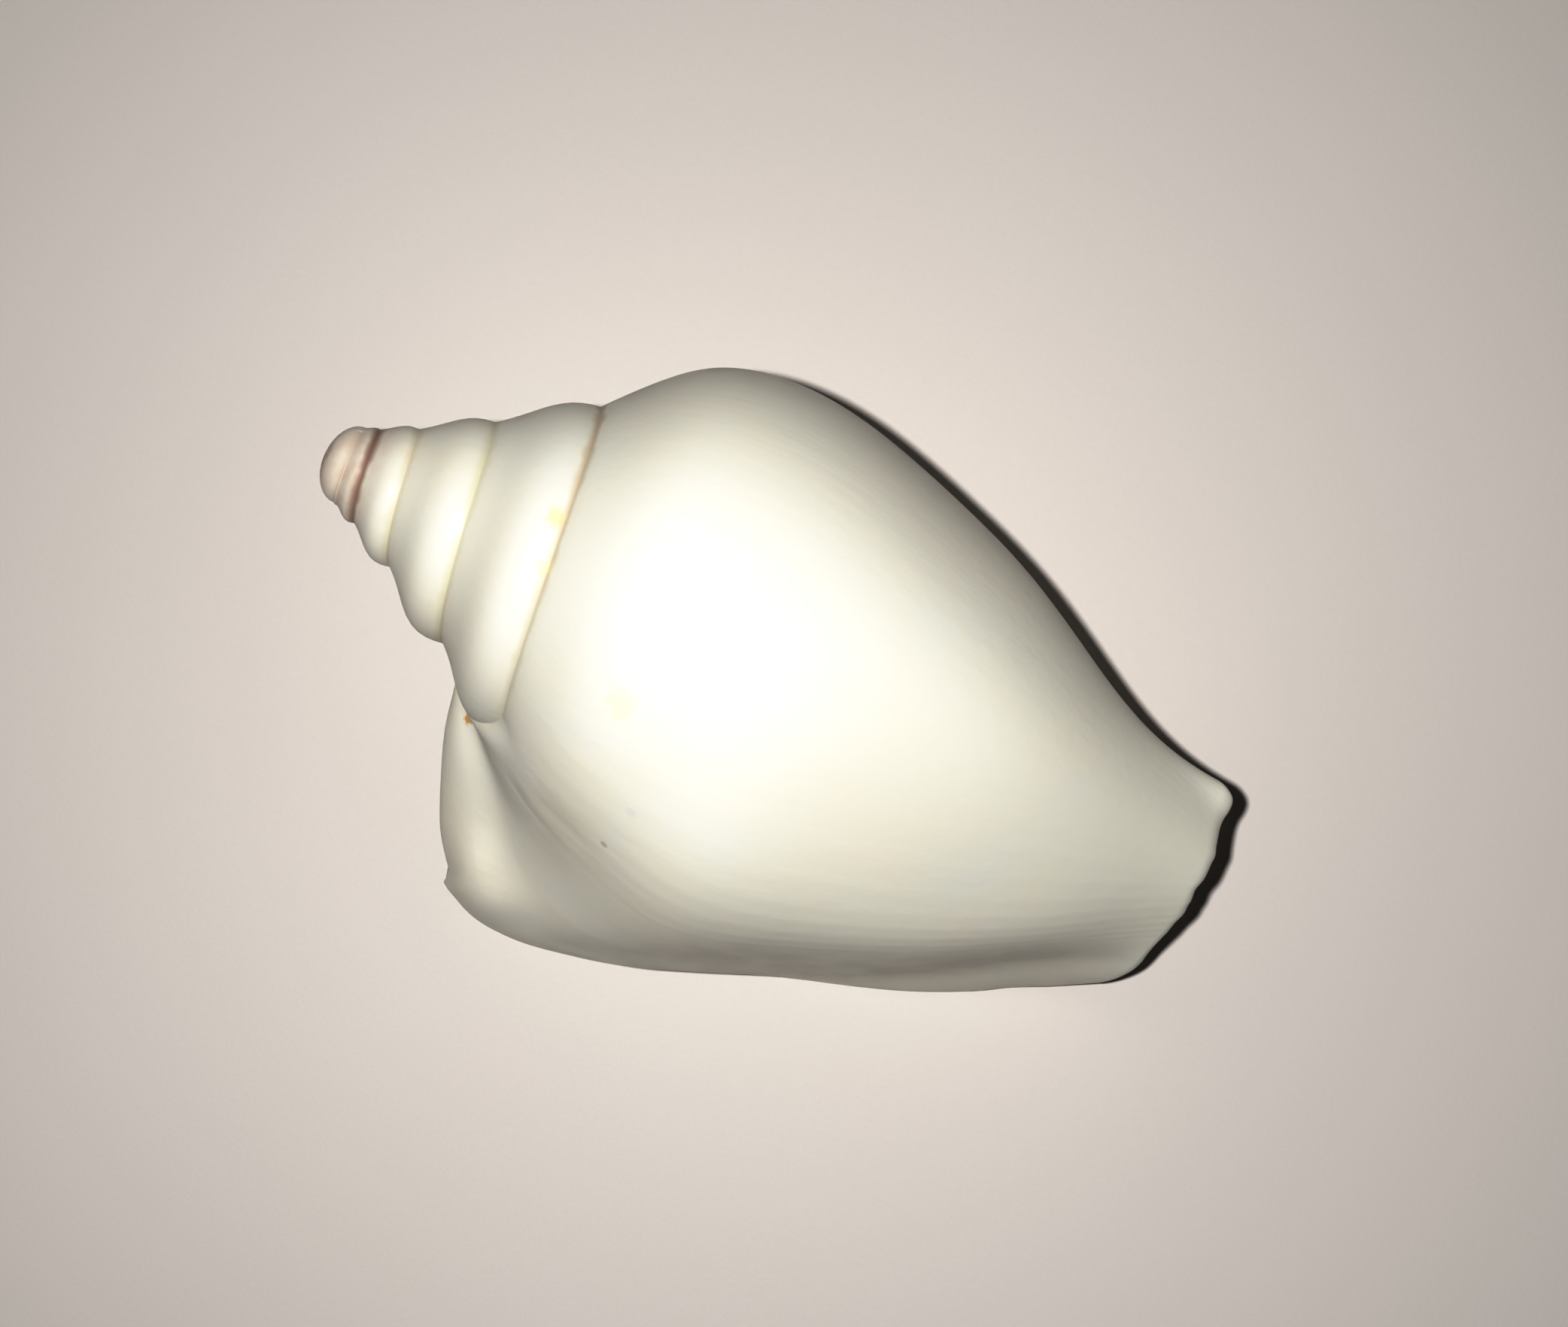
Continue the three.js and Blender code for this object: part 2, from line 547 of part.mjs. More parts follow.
// The cut solid's faces, with the very short edges that the cuts leave drawn together. An edge is
// only drawn together where the surface stays one closed sheet and no face turns over.
function geometryOf(solid) {
  const mesh = solid.getMesh();
  const points = [];
  for (let i = 0; i < mesh.vertProperties.length; i += 3) {
    points.push(new THREE.Vector3().fromArray(mesh.vertProperties, i));
  }
  let faces = [];
  for (let i = 0; i < mesh.triVerts.length; i += 3) faces.push([...mesh.triVerts.slice(i, i + 3)]);
  const around = points.map(() => new Set());
  faces.forEach((face, i) => face.forEach((corner) => around[corner].add(i)));
  const neighbours = (corner) => {
    const met = [...around[corner]].flatMap((i) => faces[i]);
    return new Set(met.filter((k) => k !== corner));
  };
  const normal = (face, moved, to) => {
    const [a, b, c] = face.map((corner) => (corner === moved ? to : points[corner]));
    return b.clone().sub(a).cross(c.clone().sub(a));
  };
  const canMove = (corner, onto) => [...around[corner]].every((i) => {
    if (faces[i].includes(onto)) return true;
    const before = normal(faces[i]);
    const after = normal(faces[i], corner, points[onto]);
    const facing = LEAST_FACING * before.length() * after.length();
    return before.length() < EMPTY_FACE || before.dot(after) > facing;
  });
  const drawTogether = (corner, onto) => {
    const ends = neighbours(onto);
    const shared = [...neighbours(corner)].filter((k) => ends.has(k));
    if (shared.length !== 2 || !canMove(corner, onto)) return false;
    [...around[corner]].forEach((i) => {
      if (faces[i].includes(onto)) {
        faces[i].forEach((k) => around[k].delete(i));
        faces[i] = null;
      } else {
        faces[i] = faces[i].map((k) => (k === corner ? onto : k));
        around[onto].add(i);
      }
    });
    around[corner].clear();
    return true;
  };
  for (let changed = true; changed;) {
    changed = false;
    for (let i = 0; i < faces.length; i += 1) {
      for (let k = 0; faces[i] && k < 3; k += 1) {
        const [from, to] = [faces[i][k], faces[i][(k + 1) % 3]];
        if (points[from].distanceTo(points[to]) < SHORTEST_EDGE && drawTogether(from, to)) changed = true;
      }
    }
  }
  faces = faces.filter((face) => face);
  const corners = faces.flat().flatMap((corner) => points[corner].toArray());
  const loose = new THREE.BufferGeometry();
  loose.setAttribute('position', new THREE.BufferAttribute(new Float32Array(corners), 3));
  return mergeVertices(loose, SAME_CORNER);
}

// Lays the shell down and moves its origin to the middle of its underside
function layDown(geometry) {
  geometry.rotateY(REST_PITCH);
  geometry.rotateX(REST_ROLL);
  geometry.computeBoundingBox();
  const { min, max } = geometry.boundingBox;
  geometry.translate(-(min.x + max.x) / 2, -(min.y + max.y) / 2, -min.z);
  return geometry;
}

const porcelain = new THREE.MeshStandardMaterial({ color: 0xf3efe4, roughness: 0.38, metalness: 0 });
const solid = filledShell().subtract(cavity()).subtract(canal());
const shell = new THREE.Mesh(layDown(geometryOf(solid)), porcelain);
shell.name = 'shell';

const conch = new THREE.Group();
conch.add(shell);
export default conch;
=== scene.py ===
"""A small true conch shell, lying on its aperture on a pale floor.

The shell is grown here as it is in the solid model, with the same named values, on a finer grid and
with the small marks of a real shell. Lengths are millimetres until the mesh is made, in metres.
It is described about its coiling axis, which runs along x until the shell is laid down. A station is
a distance along the axis from the spire's tip. Growth is counted in turns: 0 is where the suture
passes the lip side, and -1 is one whole turn before. Rows run across a whorl, from its suture (0) to
the shell's front end.
"""
import math

import bpy
import numpy as np
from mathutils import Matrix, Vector


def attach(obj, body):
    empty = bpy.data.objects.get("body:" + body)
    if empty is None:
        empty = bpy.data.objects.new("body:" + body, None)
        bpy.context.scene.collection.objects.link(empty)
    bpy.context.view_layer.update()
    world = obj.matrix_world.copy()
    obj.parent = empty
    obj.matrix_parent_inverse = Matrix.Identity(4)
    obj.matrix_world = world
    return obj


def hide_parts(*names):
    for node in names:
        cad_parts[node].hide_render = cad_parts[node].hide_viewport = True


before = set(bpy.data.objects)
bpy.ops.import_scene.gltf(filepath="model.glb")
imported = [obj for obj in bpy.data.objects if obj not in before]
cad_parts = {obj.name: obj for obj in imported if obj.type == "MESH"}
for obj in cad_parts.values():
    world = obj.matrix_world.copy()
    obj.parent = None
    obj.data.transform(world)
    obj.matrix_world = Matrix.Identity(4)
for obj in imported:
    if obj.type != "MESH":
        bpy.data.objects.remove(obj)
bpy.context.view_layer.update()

# The suture, the line where each whorl is laid on the one before, widens with growth
SUTURE_RADIUS = 9.3
RADIUS_GROWTH = 0.374
RADIUS_SLOWING = 0.152
TIP_RADIUS = 2.5
SUTURE_STATION = 16.2
STATION_GROWTH = 0.329
STATION_SLOWING = 0.115
TIP_STATION = 1.0
TIP_HEIGHT = 1.7

WHORL_SWELL = 0.12
LIP_SIDE_SWELL = 0.04
SWELL_LOWERING = 1.6

LIP_TURN = 1 / 12
FIRST_SUTURE = LIP_TURN - 4.5
CLIMB_START = -0.075
CLIMB = 0.9

# The last whorl's outline half a turn before zero: station and radius
WHORL_OUTLINE = [
    [14.33, 9.83], [17.0, 12.75], [20.2, 15.2], [24.8, 16.3], [30.4, 15.8],
    [37.0, 13.9], [44.0, 11.1], [51.0, 7.1], [56.5, 4.85], [62.3, 4.2],
]
OUTLINE_TURN = -0.5
SPIRE_TO_BODY = [-1.05, -0.72]
SPIRE_FADE_ROWS = 2.5
SUTURE_PULL_ROWS = 1.2
LAST_ROW = len(WHORL_OUTLINE) - 1
NEXT_SUTURE_ROW = 2
BELLY_FLATTENING = 0.04

# Growth lines of the last half turn: station, distance towards the lip side, rise above the axis
FAR_LINE = [
    [15, -7.3, 7.3], [17.6, -9.1, 9.1], [20.8, -10.7, 10.7], [25.3, -11.4, 11.3], [31, -11.1, 10.9],
    [37.7, -9.8, 9.6], [45, -7.9, 7.4], [52, -5.4, 4.7], [57.3, -3.9, 2.5], [62.6, -2.4, 0.7],
]
BACK_LINE = [
    [15.8, 0, 10.8], [18.2, 0, 13.1], [21.2, 0, 15], [25.6, 0, 15.9], [31.2, 0, 15.6],
    [38, 0, 13.9], [45.5, 0, 11], [52.5, 0, 7.2], [58, 0, 3.9], [62.8, 0, 1.3],
]
SHOULDER_LINE = [
    [16.4, 7.9, 7.9], [18.8, 9.4, 9.4], [22, 10.8, 10.7], [26.4, 11.8, 11.4], [32, 12.6, 11.4],
    [39, 11.7, 9.6], [46.5, 9.6, 7.3], [53.5, 7.1, 4.9], [58.8, 4.8, 2.6], [62.8, 3.2, 1],
]
FLANK_LINE = [
    [15.2, 11.3, 0.2], [17.7, 13.4, 1.6], [20.8, 15.5, 2.3], [25.4, 17.3, 3.6], [31.2, 18.8, 4],
    [38.5, 17, 3.8], [46.5, 14.1, 2.8], [53.5, 10.8, 1.3], [58.8, 8.2, -0.1], [62.6, 6.5, -1],
]
VALLEY_LINE = [
    [13.6, 10.1, -2.2], [16.3, 13.3, -2.1], [18.9, 16.4, -2.8], [22, 20.1, -4], [28.1, 22.1, -3.2],
    [36.8, 19.9, -3.1], [45.6, 16.8, -3.6], [53.5, 12.7, -4], [59, 9.9, -3.5], [62.5, 8.9, -3.2],
]
FLARE_LINE = [
    [12.7, 8.9, -3.5], [14.4, 13.5, -3.6], [16.8, 17.7, -5.1], [19.7, 22.7, -7.2], [25.5, 24.7, -8.3],
    [34.4, 22.4, -8.5], [43.5, 18.9, -8.5], [51.5, 15.7, -8.7], [58, 12.4, -7.5], [62.4, 10.4, -5.8],
]
LIP_LINE = [
    [12.2, 8.2, -4.6], [12.6, 12.9, -5.6], [14.5, 18.7, -7.7], [17.7, 24.7, -12.2], [23.5, 26.1, -13.9],
    [31.5, 24.3, -13.5], [41, 21.4, -12.8], [50.2, 18.5, -12.1], [57.8, 14.7, -11.3], [62.2, 11.6, -8.6],
]
LINE_TURNS = [-0.75, -0.625, -0.5, -0.375, -0.25, -0.125, 0, 0.035, 0.06, LIP_TURN]

# The wall, the pillar the whorls wind round, and the glaze laid on the whorl inside the aperture
WALL = 1.1
LIP_WALL = 2.2
FRONT_LIP_WALL = 1.4
FRONT_LIP_ROWS = 2.5
LIP_THICKENING_START = -0.08
PILLAR_RADIUS = 2.6
PILLAR_END = [59.8, -2.6, -1.4]
GLAZE = 0.35
GLAZE_TURNS = 0.22
GLAZE_ROWS = 0.8
GLAZE_EDGE = 0.03

CAVITY_START = -0.95
CAVITY_LAST_ROW = 7.2
CAVITY_TAPER = 0.5
CAVITY_TAPER_ROWS = 0.8
CAVITY_END_LEAN = 0.3
CORNER_GAP = 0.35
MOUTH_DROP = 7
ONTO_PILLAR = [-4, 3]
CLIMB_FADE_TURNS = 0.3

# The canal, a trough under the whorl's front end that is open below and in front
CANAL_START = 50
CANAL_TAPER_END = 55
CANAL_END = 62.25
CANAL_TURNS = [-0.46, LIP_TURN]
CANAL_TAPER = 1.0
CANAL_BULGE_FROM = [50, 3.5, 5.5]
CANAL_BULGE_TO = [62, -2.4, -0.8]
CANAL_FLARE = 5
CANAL_REACH = 6
CANAL_DROP = 21

RIM_TURNS = 0.028
RIM_ROWS = 0.22
RIM_FLAT = 0.12
RIM_START_ROWS = 0.6
FLUSH_START = -0.05
FLUSH_SHARE = 0.96

# Small marks of wear and growth on the outside. The sutures are finely grooved.
GROOVE_DEPTH = 0.03
GROOVE_WIDTH = 0.4
GROOVE_END = [-0.06, -0.11]
RIPPLES_PER_TURN = 43
RIPPLE_HEIGHT = 0.0035
RIPPLE_WANDER = 2
RIPPLE_WANDER_RATE = 19
RIPPLE_TURNS = [-0.6, -0.1]
RIPPLE_ROWS = [0.5, 2]
# Two hollows behind the lobe, its ledge, and the hollow in front of that: turn, its change with each
# row, half width in turns, first and last row, height
FOLDS = [
    [-0.012, 0.006, 0.026, 1.0, 2.8, -0.09],
    [-0.050, 0.006, 0.030, 1.5, 3.1, -0.08],
    [0.058, 0.000, 0.026, 2.1, 3.5, 0.45],
    [0.056, 0.000, 0.027, 3.1, 4.9, -0.55],
]
FOLD_START_ROWS = 0.6
FOLD_END_ROWS = 0.8
# Chips in the lip: the row of the deepest point, its reach back and forward in rows, its depth in turns
LIP_CHIPS = [
    [2.79, 0.60, 0.03, 0.0030],
    [2.86, 0.04, 0.30, -0.0030],
    [5.96, 0.05, 0.06, 0.0008],
    [6.17, 0.06, 0.05, 0.0007],
    [7.78, 0.22, 0.50, 0.0022],
]
CHIP_START = 0.035
# The front edge is worn uneven: turn, half width in turns, depth in rows
FRONT_CHIPS = [
    [0.02, 0.03, 0.05], [-0.07, 0.03, -0.035], [-0.14, 0.035, 0.05], [-0.24, 0.03, -0.02],
    [-0.50, 0.12, 0.13],
]
FRONT_CHIP_ROWS = 0.5

# How the shell lies, and where its axis then starts
REST_PITCH = math.radians(4.35)
REST_SHIFT = np.array([-31.216, 4.510, 16.468])

# How finely the surfaces are cut into faces
RIM_STEPS = [0.86, 0.68, 0.5, 0.34, 0.2, 0.1, 0.03]
LIP_SPACING = 1 / 640
BODY_SPACING = 1 / 240
SPIRE_ROWS = 15
BODY_ROWS = 92
CAVITY_ROWS = 42
TIP_RINGS = 10
CANAL_COLUMNS = 48
CANAL_SIDE_POINTS = 16
CANAL_STEP = 0.4
FINE_TURNS_START = -0.14
TURN_PROBE = 0.004
ROW_PROBE = 0.05
SMOOTHING_PASSES = 24
HALVINGS = 18
CORNER_HALVINGS = 16
SAME_POINT = 2e-4
SLACK = 1e-9


def ramp(x, low, high):
    """A smooth step from 0 at low to 1 at high."""
    x = np.clip((np.asarray(x, float) - low) / (high - low), 0, 1)
    return x * x * (3 - 2 * x)


def mix(a, b, share):
    return a + (b - a) * share


def control_points(points):
    """Control points, along the first axis, of a smooth curve that passes through the points."""
    points = np.array(points, float)
    control = points.copy()
    for _ in range(SMOOTHING_PASSES):
        for i in range(1, len(points) - 1):
            control[i] = (6 * points[i] - control[i - 1] - control[i + 1]) / 4
    return control


def spline_weights(place, count):
    """What each control point of a cubic B-spline weighs at a place. Past its ends it goes on straight."""
    place = np.asarray(place, float)
    first = np.clip(np.floor(place).astype(int), 0, count - 2)
    f = place - first
    g = 1 - f
    parts = [g**3, 3 * f**3 - 6 * f**2 + 4, 3 * g**3 - 6 * g**2 + 4, f**3]
    weights = np.zeros(place.shape + (count + 2,))
    for j, part in enumerate(parts):
        np.put_along_axis(weights, (first + j)[..., None], part[..., None] / 6, -1)
    inner = weights[..., 1:-1].copy()
    inner[..., 0] += 2 * weights[..., 0]
    inner[..., 1] -= weights[..., 0]
    inner[..., -1] += 2 * weights[..., -1]
    inner[..., -2] -= weights[..., -1]
    return inner


def suture_radius(turn):
    t = np.maximum(turn, FIRST_SUTURE)
    return TIP_RADIUS + SUTURE_RADIUS * np.exp(RADIUS_GROWTH * t - RADIUS_SLOWING * t * t)


def suture_station(turn):
    t = np.maximum(turn, FIRST_SUTURE)
    return TIP_STATION + SUTURE_STATION * np.exp(STATION_GROWTH * t - STATION_SLOWING * t * t)


def spire_outline(turn, part):
    """Station and radius on a spire whorl, between its own suture (part 0) and the next (part 1)."""
    along = suture_station(turn + 1) - suture_station(turn)
    out = suture_radius(turn + 1) - suture_radius(turn)
    swell = WHORL_SWELL + LIP_SIDE_SWELL * np.cos(2 * np.pi * turn)
    height = swell * np.sin(np.pi * part**SWELL_LOWERING)
    return np.stack([
        suture_station(turn) + along * part - out * height,
        suture_radius(turn) + out * part + along * height,
    ], -1)


OUTLINE_CONTROL = control_points(WHORL_OUTLINE)


def body_outline(turn, row):
    """The last whorl's outline, grown on or back to another turn."""
    point = spline_weights(row, len(WHORL_OUTLINE)) @ OUTLINE_CONTROL
    first_station, first_radius = WHORL_OUTLINE[0]
    size = suture_radius(turn) / first_radius
    belly = 1 - BELLY_FLATTENING * np.sin(np.pi * ramp(turn, -1, OUTLINE_TURN))
    return np.stack([
        suture_station(turn) + (point[..., 0] - first_station) * size,
        suture_radius(turn) + (point[..., 1] - first_radius) * size * belly,
    ], -1)


def outline(turn, row):
    """Station and radius of the outside at any turn up to the last half."""
    turn, row = np.broadcast_arrays(np.asarray(turn, float), np.asarray(row, float))
    body = body_outline(turn, row)
    spire = spire_outline(turn, np.clip(row / NEXT_SUTURE_ROW, 0, 1))
    share = ramp(turn, *SPIRE_TO_BODY)[..., None]
    edge = body_outline(turn, np.full_like(row, NEXT_SUTURE_ROW))
    past = ramp(row, NEXT_SUTURE_ROW, NEXT_SUTURE_ROW + SPIRE_FADE_ROWS)[..., None]
    fade = (1 - share) * (1 - past)
    on_spire = (row <= NEXT_SUTURE_ROW)[..., None]
    return np.where(on_spire, mix(spire, body, share), body + fade * (spire - edge))


def around_axis(turn, station, radius):
    angle = 2 * np.pi * np.asarray(turn, float)
    station, angle, radius = np.broadcast_arrays(station, angle, radius)
    return np.stack([station, -radius * np.cos(angle), -radius * np.sin(angle)], -1)


def outline_point(turn, row):
    profile = outline(turn, row)
    return around_axis(turn, profile[..., 0], profile[..., 1])


def skin_control():
    """Control points of the last half turn's smooth skin, which passes through its growth lines."""
    rows = np.arange(LAST_ROW + 1.0)
    lines = [outline_point(np.full_like(rows, turn), rows) for turn in LINE_TURNS[:3]]
    for line in [FAR_LINE, BACK_LINE, SHOULDER_LINE, FLANK_LINE, VALLEY_LINE, FLARE_LINE, LIP_LINE]:
        lines.append(np.array(line, float) * [1, -1, 1])
    rowwise = np.stack([control_points(line) for line in lines])
    return control_points(rowwise)


SKIN_CONTROL = skin_control()


def skin_point(turn, row):
    place = np.interp(turn, LINE_TURNS, range(len(LINE_TURNS)))
    last = LINE_TURNS[-1] - LINE_TURNS[-2]
    place = place + np.maximum(turn - LIP_TURN, 0) / last
    by_line = spline_weights(place, len(LINE_TURNS))
    by_row = spline_weights(row, LAST_ROW + 1)
    return np.einsum("...i,...j,ijk->...k", by_line, by_row, SKIN_CONTROL, optimize=True)


def suture_row(turn):
    """The row of a whorl that the next suture lies on. Its last stretch climbs towards the tip."""
    return NEXT_SUTURE_ROW * (1 - CLIMB * ramp(turn, CLIMB_START, LIP_TURN))


def bump(x, middle, before, after):
    """A smooth bump of height 1 that starts and ends at the given distances from its middle."""
    return ramp(x, middle - before, middle) * (1 - ramp(x, middle, middle + after))


def worn(turn, row):
    """The turn and row that the worn edge of the lip and of the front end have come back to."""
    back = sum(depth * bump(row, middle, before, after) for middle, before, after, depth in LIP_CHIPS)
    up = sum(depth * bump(turn, middle, half, half) for middle, half, depth in FRONT_CHIPS)
    return (
        turn - back * ramp(turn, CHIP_START, LIP_TURN),
        row - up * ramp(row, LAST_ROW - FRONT_CHIP_ROWS, LAST_ROW),
    )


def relief(turn, row):
    """How far folds and growth ripples stand out."""
    wander = np.sin(RIPPLE_WANDER_RATE * turn) * RIPPLE_WANDER
    height = RIPPLE_HEIGHT * np.sin(2 * np.pi * RIPPLES_PER_TURN * turn + wander)
    height = height * ramp(turn, *RIPPLE_TURNS) * ramp(row, *RIPPLE_ROWS)
    for middle, lean, half, first, last, rise in FOLDS:
        along = ramp(row, first, first + FOLD_START_ROWS) * (1 - ramp(row, last - FOLD_END_ROWS, last))
        height = height + rise * along * bump(turn, middle + lean * (row - first), half, half)
    return height


def outside_point(turn, row):
    """Any point of the outside. Near the suture the skin is drawn onto the whorl that it is laid on."""
    turn, row = np.broadcast_arrays(np.asarray(turn, float), np.asarray(row, float))
    turn, row = worn(turn, row)
    early = outline_point(turn, row)
    late_turn = np.maximum(turn, OUTLINE_TURN)
    late = skin_point(late_turn, row)
    pull = (1 - ramp(row, 0, SUTURE_PULL_ROWS))[..., None]
    laid_on = outline_point(late_turn - 1, suture_row(late_turn))
    late = late + pull * (laid_on - skin_point(late_turn, np.zeros_like(row)))
    return np.where((turn < OUTLINE_TURN)[..., None], early, late)


def point_under(turn, row, depth):
    """A point under the outside, or above it where the depth is negative."""
    turn, row, depth = np.broadcast_arrays(*(np.asarray(a, float) for a in (turn, row, depth)))
    earlier, later = np.minimum(turn, LIP_TURN) - TURN_PROBE, np.minimum(turn + TURN_PROBE, LIP_TURN)
    behind, ahead = np.maximum(row - ROW_PROBE, 0), np.minimum(row + ROW_PROBE, LAST_ROW)
    growth = outside_point(later, row) - outside_point(earlier, row)
    across = outside_point(turn, ahead) - outside_point(turn, behind)
    normal = np.cross(growth, across)
    normal /= np.maximum(np.linalg.norm(normal, axis=-1, keepdims=True), SLACK)
    return outside_point(turn, row) - normal * depth[..., None]


def wall_thickness(turn, row):
    lip = mix(LIP_WALL, FRONT_LIP_WALL, ramp(row, LAST_ROW - FRONT_LIP_ROWS, LAST_ROW))
    return mix(WALL, lip, ramp(turn, LIP_THICKENING_START, LIP_TURN))


def rim_turn(turn, row):
    """How far the half-round of the free edge has turned in, from 0 to 1."""
    past_turn = np.maximum((turn - LIP_TURN) / RIM_TURNS + 1, 0)
    past_row = np.maximum((row - LAST_ROW) / RIM_ROWS + 1, 0)
    x = np.minimum(np.hypot(past_turn, past_row), 1)
    return (1 - np.sqrt(1 - x * x)) * ramp(row, 0, RIM_START_ROWS)


def inside_depth(turn, row):
    return wall_thickness(turn, row) * (1 - (0.5 - RIM_FLAT) * rim_turn(turn, row))


def behind_lip(turn):
    """1 well behind the lip, and almost 0 at it, where the cavity and the canal meet flush."""
    return 1 - FLUSH_SHARE * ramp(turn, FLUSH_START, LIP_TURN - RIM_TURNS)


def shell_point(turn, row):
    """The outside as it is built: the rim is rounded, and glaze thickens the whorl beside the aperture."""
    glazed = LIP_TURN - 1
    start = suture_row(turn + 1)
    glaze = GLAZE * ramp(row - start, 0, GLAZE_ROWS)
    glaze = np.where(turn >= glazed, glaze * (1 - ramp(turn, glazed, glazed + GLAZE_TURNS)), 0)
    rim = 0.5 * wall_thickness(turn, row) * rim_turn(turn, row)
    return point_under(turn, row, rim - glaze - relief(turn, row) * (1 - rim_turn(turn, row)))


def bisect(is_low, low, high, passes=HALVINGS):
    for _ in range(passes):
        middle = (low + high) / 2
        below = is_low(middle)
        low, high = np.where(below, middle, low), np.where(below, high, middle)
    return low


def row_at(turn, station):
    """The row at which a growth line passes a station."""
    turn, station = np.broadcast_arrays(turn, station)
    start = np.zeros(turn.shape)
    return bisect(lambda row: outside_point(turn, row)[..., 0] < station, start, start + LAST_ROW)


def inner_radius(turn, station):
    """Radius, at a station, of the whorl or pillar that the cavity's inner wall lies on."""
    end = outline(turn - 1, np.full_like(station, LAST_ROW))
    start = np.zeros(station.shape)
    row = bisect(lambda r: outline(turn - 1, r)[..., 0] < station, start, start + LAST_ROW)
    radius = np.where(station < end[..., 0], outline(turn - 1, row)[..., 1], end[..., 1])
    on_pillar = ramp(station - end[..., 0], *ONTO_PILLAR)
    return np.maximum(mix(radius + GLAZE + GLAZE_EDGE, PILLAR_RADIUS, on_pillar), PILLAR_RADIUS)


class Sheet:
    """Points and faces of a closed surface as it is put together."""

    def __init__(self):
        self.points, self.faces = [], []
        self.count = 0

    def add(self, points):
        """Adds points, and returns their numbers in the same arrangement."""
        points = np.asarray(points, float)
        flat = points.reshape(-1, 3)
        self.points.append(flat)
        numbers = np.arange(self.count, self.count + len(flat)).reshape(points.shape[:-1])
        self.count += len(flat)
        return numbers

    def quads(self, a, b, c, d):
        quads = np.stack([np.ravel(x) for x in (a, b, c, d)], -1)
        self.faces.append(quads[:, [0, 1, 2]])
        self.faces.append(quads[:, [0, 2, 3]])

    def triangles(self, a, b, c):
        self.faces.append(np.stack([np.ravel(x) for x in np.broadcast_arrays(a, b, c)], -1))

    def mesh(self, name):
        """A closed mesh: points that coincide are joined, and faces that this leaves empty are dropped."""
        points = np.concatenate(self.points)
        faces = np.concatenate(self.faces)
        places = np.round(points / SAME_POINT).astype(np.int64)
        _, first, same = np.unique(places, axis=0, return_index=True, return_inverse=True)
        faces = same.reshape(-1)[faces]
        faces = faces[np.all(faces != np.roll(faces, 1, axis=1), axis=1)]
        mesh = bpy.data.meshes.new(name)
        mesh.from_pydata(points[first].tolist(), [], faces.tolist())
        mesh.validate()
        return mesh


def growth_steps():
    """Fractions of a turn, up to the lip, at which the surfaces are cut. They repeat on every whorl."""
    steps = list(np.arange(LIP_TURN - 1, FINE_TURNS_START, BODY_SPACING))
    steps += list(np.arange(steps[-1] + BODY_SPACING, LIP_TURN - RIM_TURNS, LIP_SPACING))
    steps += [LIP_TURN - step * RIM_TURNS for step in RIM_STEPS]
    middle = LIP_TURN - 0.5
    nearest = min(range(len(steps)), key=lambda i: abs(steps[i] - middle))
    steps[nearest] = middle
    return np.array(steps)


def filled_shell():
    """The shell as if it were filled, with a face across the aperture."""
    sheet = Sheet()
    steps = growth_steps()
    whorls = range(math.ceil(-FIRST_SUTURE), -1, -1)
    turns = np.concatenate([steps - whole for whole in whorls] + [[LIP_TURN]])
    turns = turns[turns >= FIRST_SUTURE - 1 - SLACK]
    body_start = LIP_TURN - 1
    in_body = turns >= body_start - SLACK
    climb_fade = ramp(turns, body_start, body_start + CLIMB_FADE_TURNS)
    body_following = mix(suture_row(LIP_TURN), NEXT_SUTURE_ROW, climb_fade)
    following = np.where(in_body, body_following, suture_row(turns + 1))
    part = 0.5 - 0.5 * np.cos(np.pi * np.linspace(0, 1, SPIRE_ROWS + 1))
    spire = sheet.add(shell_point(turns[:, None], following[:, None] * part))
    sheet.quads(spire[:-1, :-1], spire[1:, :-1], spire[1:, 1:], spire[:-1, 1:])

    body_turns, start = turns[in_body], following[in_body]
    rows = mix(start[:, None], float(LAST_ROW - RIM_ROWS), np.linspace(0, 1, BODY_ROWS + 1)[1:])
    rims = np.tile([LAST_ROW - step * RIM_ROWS for step in RIM_STEPS] + [LAST_ROW], (len(body_turns), 1))
    body = sheet.add(shell_point(body_turns[:, None], np.concatenate([rows, rims], 1)))
    body = np.concatenate([spire[in_body][:, -1:], body], 1)
    sheet.quads(body[:-1, :-1], body[1:, :-1], body[1:, 1:], body[:-1, 1:])

    # The tip is a small dome on the first suture's ring
    in_ring = turns < FIRST_SUTURE - SLACK
    ring, ring_turns = spire[in_ring][:, 0], turns[in_ring]
    for k in range(1, TIP_RINGS):
        angle = (math.pi / 2) * (1 - k / TIP_RINGS)
        station = suture_station(FIRST_SUTURE) - TIP_HEIGHT * math.cos(angle)
        above = sheet.add(around_axis(ring_turns, station, suture_radius(FIRST_SUTURE) * math.sin(angle)))
        sheet.quads(np.roll(ring, -1), ring, above, np.roll(above, -1))
        ring = above
    tip = sheet.add([[suture_station(FIRST_SUTURE) - TIP_HEIGHT, 0, 0]])
    sheet.triangles(np.roll(ring, -1), ring, tip)

    # The face across the aperture, from the lip to the whorl beside it
    lip_rim, beside = spire[-1], body[0, 0]
    sheet.triangles(lip_rim[1:-1], beside, lip_rim[2:])
    sheet.quads(body[-1][:-1], body[0][:-1], body[0][1:], body[-1][1:])

    # The front end closes on the pillar's end
    pillar = sheet.add([[PILLAR_END[0], -PILLAR_END[1], PILLAR_END[2]]])
    front = np.append(body[:, -1], body[0, -1])
    sheet.triangles(front[:-1], front[1:], pillar)
    return sheet


